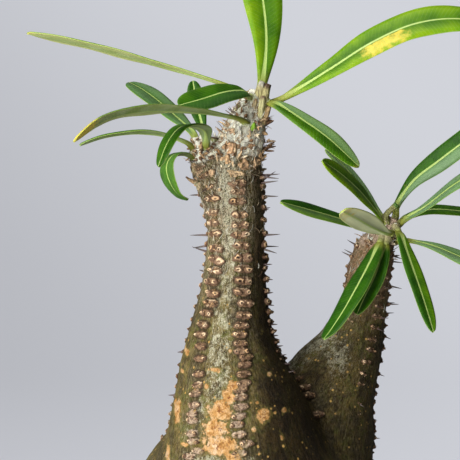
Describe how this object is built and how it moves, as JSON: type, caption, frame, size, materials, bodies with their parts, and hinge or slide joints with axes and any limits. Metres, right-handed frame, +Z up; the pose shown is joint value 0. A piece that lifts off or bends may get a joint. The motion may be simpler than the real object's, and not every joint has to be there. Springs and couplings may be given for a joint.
{
  "type": "potted pachypodium gracilius",
  "caption": "Swollen-bodied succulent with bottle-shaped spiny arms and crowns of narrow stalked leaves, standing in gritty soil in a plain clay pot.",
  "frame": {"origin": "middle of the pot's flat underside, where it stands", "axes": "+Z up along the pot's axis, +X to the plant's right with the lower arm on that side, +Y away from the viewer"},
  "size_m": [0.1535, 0.1225, 0.3242],
  "materials": {
    "clay": "unglazed, matt, faintly grained",
    "grit": "coarse mineral grit, matt",
    "bark": "grey-green bark with brown tubercles, satin",
    "leaf": "smooth and glossy above, paler beneath"
  },
  "bodies": {
    "root": {"pot": "clay", "soil": "grit", "plant_body": "bark", "leaf_main_upright": "leaf", "leaf_main_long_right": "leaf", "leaf_main_low_right": "leaf", "leaf_main_front_left": "leaf", "leaf_main_far_left": "leaf", "leaf_main_near_left": "leaf", "leaf_side_far_left": "leaf", "leaf_side_upright": "leaf", "leaf_side_left": "leaf", "leaf_side_recurved": "leaf", "leaf_side_droop": "leaf", "leaf_back_up_left": "leaf", "leaf_back_up_left_far": "leaf", "leaf_back_left": "leaf", "leaf_back_front": "leaf", "leaf_back_upright": "leaf", "leaf_back_right_rise": "leaf", "leaf_back_right_level": "leaf", "leaf_back_right_low": "leaf", "leaf_back_right_droop": "leaf", "leaf_back_big_droop": "leaf", "leaf_back_far_droop": "leaf"}
  },
  "joints": []
}
